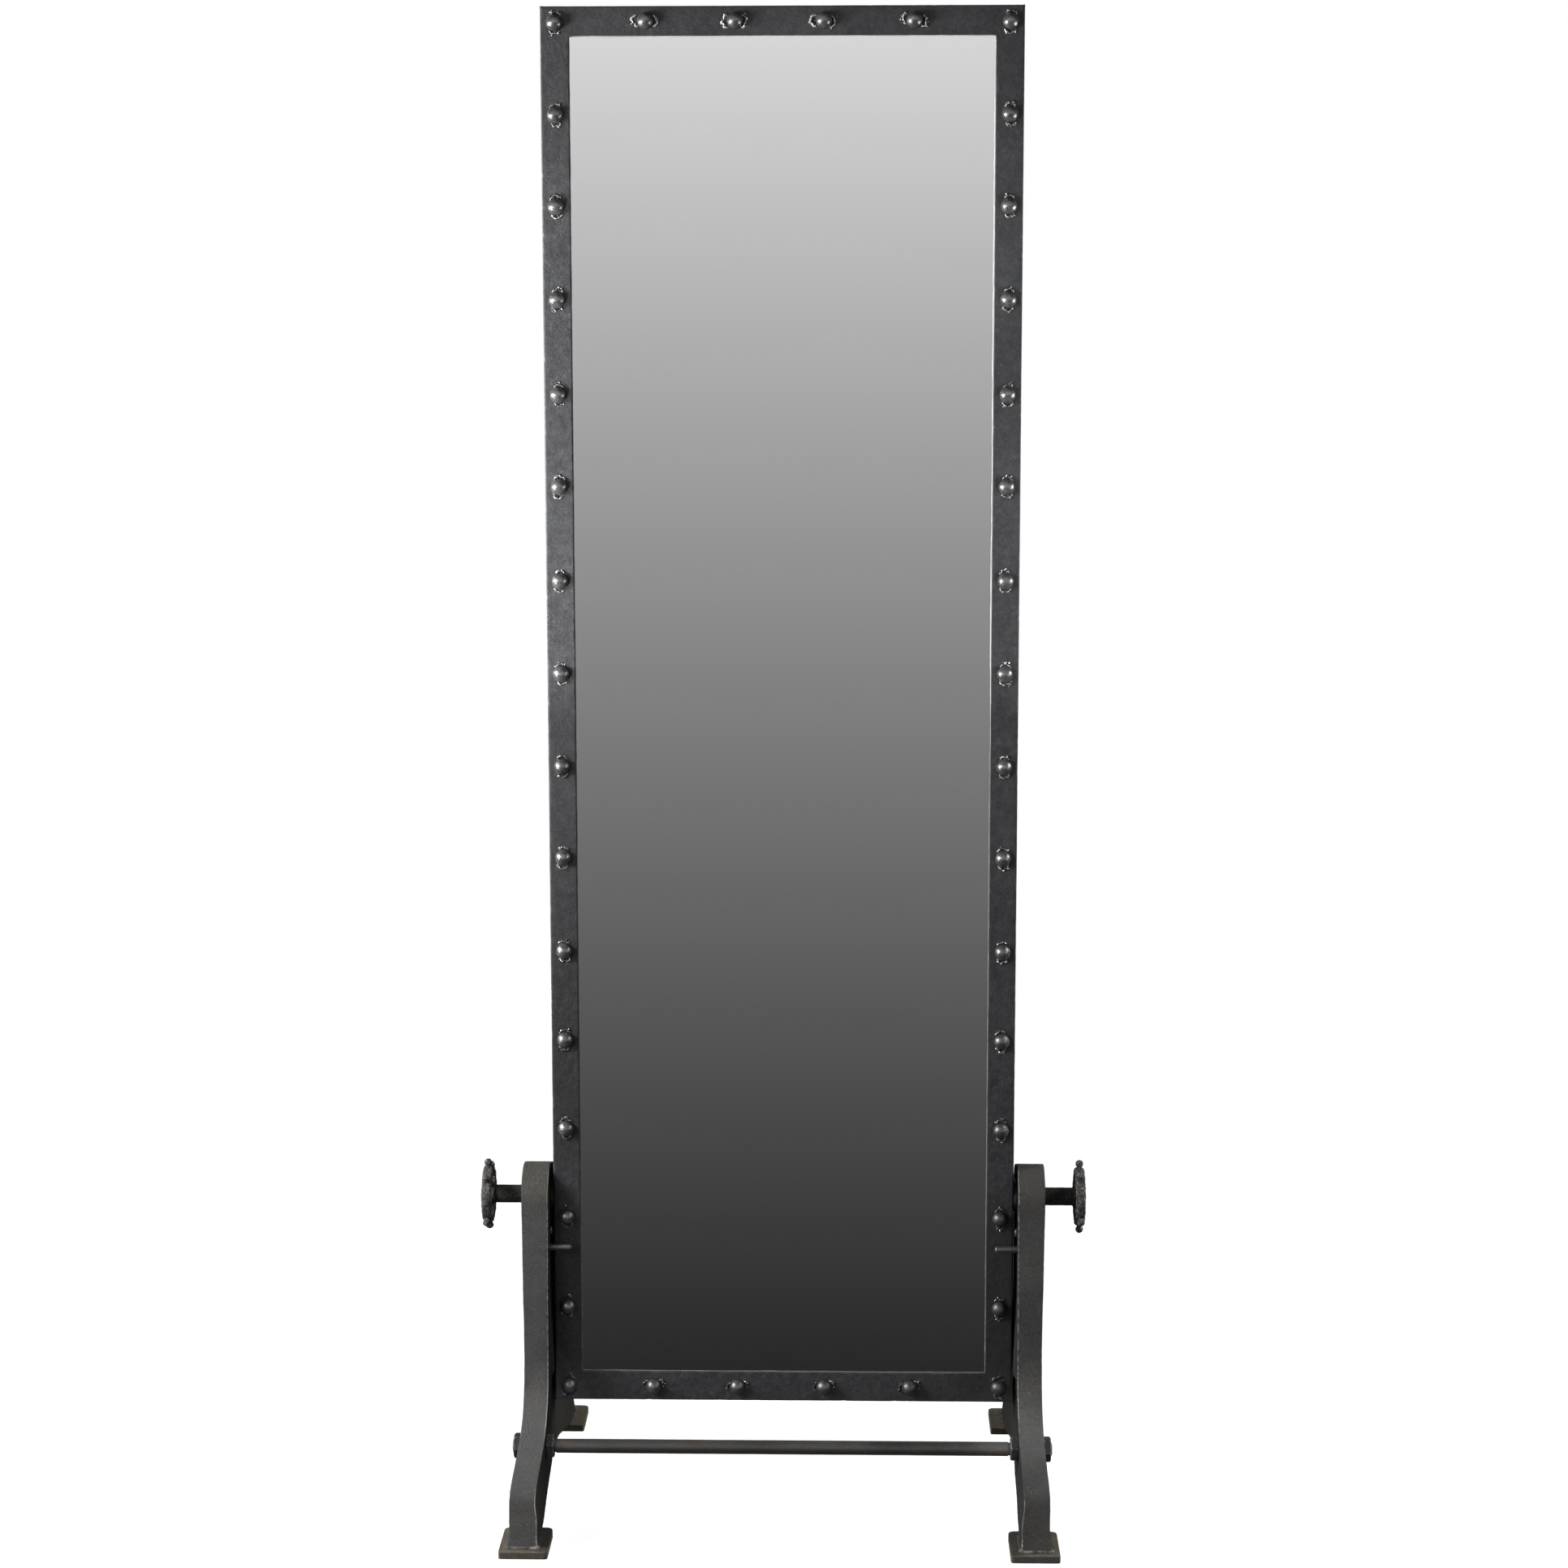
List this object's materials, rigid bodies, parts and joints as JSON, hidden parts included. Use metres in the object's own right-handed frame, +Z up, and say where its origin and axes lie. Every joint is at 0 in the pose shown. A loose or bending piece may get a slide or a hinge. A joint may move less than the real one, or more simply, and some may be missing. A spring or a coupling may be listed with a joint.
{
  "type": "floor mirror",
  "caption": "Tall tilting floor mirror in a studded angle-iron frame, held between two cast-iron legs with clamping handwheels, a tie rod and flat feet.",
  "frame": {"origin": "on the floor under the middle of the stand; the tilt axis crosses X = 0 at Y = 0, 399 mm up", "axes": "+Z up, -Y the way the glass faces, +X to the right of someone facing the glass; left and right in the names are a viewer's"},
  "size_m": [0.803, 0.55, 1.941],
  "materials": {
    "frame_iron": "satin blackened iron",
    "stud_steel": "burnished dark steel",
    "silvered_glass": "polished",
    "black_tape": "matt",
    "hardboard": "pressed fibre",
    "plain_steel": "dull steel",
    "fibre": "matt",
    "cast_iron": "rough oiled casting",
    "dark_steel": "blackened steel"
  },
  "bodies": {
    "stand": {"left_leg": "cast_iron", "right_leg": "cast_iron", "left_front_foot": "cast_iron", "left_rear_foot": "cast_iron", "right_front_foot": "cast_iron", "right_rear_foot": "cast_iron", "tie_rod": "dark_steel", "left_inner_nut": "dark_steel", "right_inner_nut": "dark_steel", "left_outer_nut": "dark_steel", "right_outer_nut": "dark_steel", "left_stop_pin": "dark_steel", "right_stop_pin": "dark_steel", "left_leg_bolt": "dark_steel", "right_leg_bolt": "dark_steel"},
    "mirror": {"left_stile": "frame_iron", "right_stile": "frame_iron", "top_rail": "frame_iron", "bottom_rail": "frame_iron", "left_stile_studs": "stud_steel", "right_stile_studs": "stud_steel", "top_rail_studs": "stud_steel", "bottom_rail_studs": "stud_steel", "mirror_glass": "silvered_glass", "bedding_tape": "black_tape", "backing_board": "hardboard", "retaining_clips": "plain_steel", "clip_screws": "plain_steel", "left_pivot_block": "plain_steel", "right_pivot_block": "plain_steel", "left_friction_washer": "fibre", "right_friction_washer": "fibre"},
    "left_handwheel": {"left_handwheel": "cast_iron", "left_clamp_screw": "dark_steel", "left_wheel_nut": "dark_steel"},
    "right_handwheel": {"right_handwheel": "cast_iron", "right_clamp_screw": "dark_steel", "right_wheel_nut": "dark_steel"}
  },
  "joints": [
    {"name": "mirror_tilt", "type": "hinge", "parent": "stand", "child": "mirror", "pos_m": [0, 0, 0.399], "axis": [1, 0, 0], "range_deg": [-8.3, 20]},
    {"name": "left_handwheel_turn", "type": "hinge", "parent": "mirror", "child": "left_handwheel", "pos_m": [-0.393, 0, 0.399], "axis": [-1, 0, 0], "range_deg": [0, 720]},
    {"name": "right_handwheel_turn", "type": "hinge", "parent": "mirror", "child": "right_handwheel", "pos_m": [0.393, 0, 0.399], "axis": [1, 0, 0], "range_deg": [0, 720]}
  ]
}
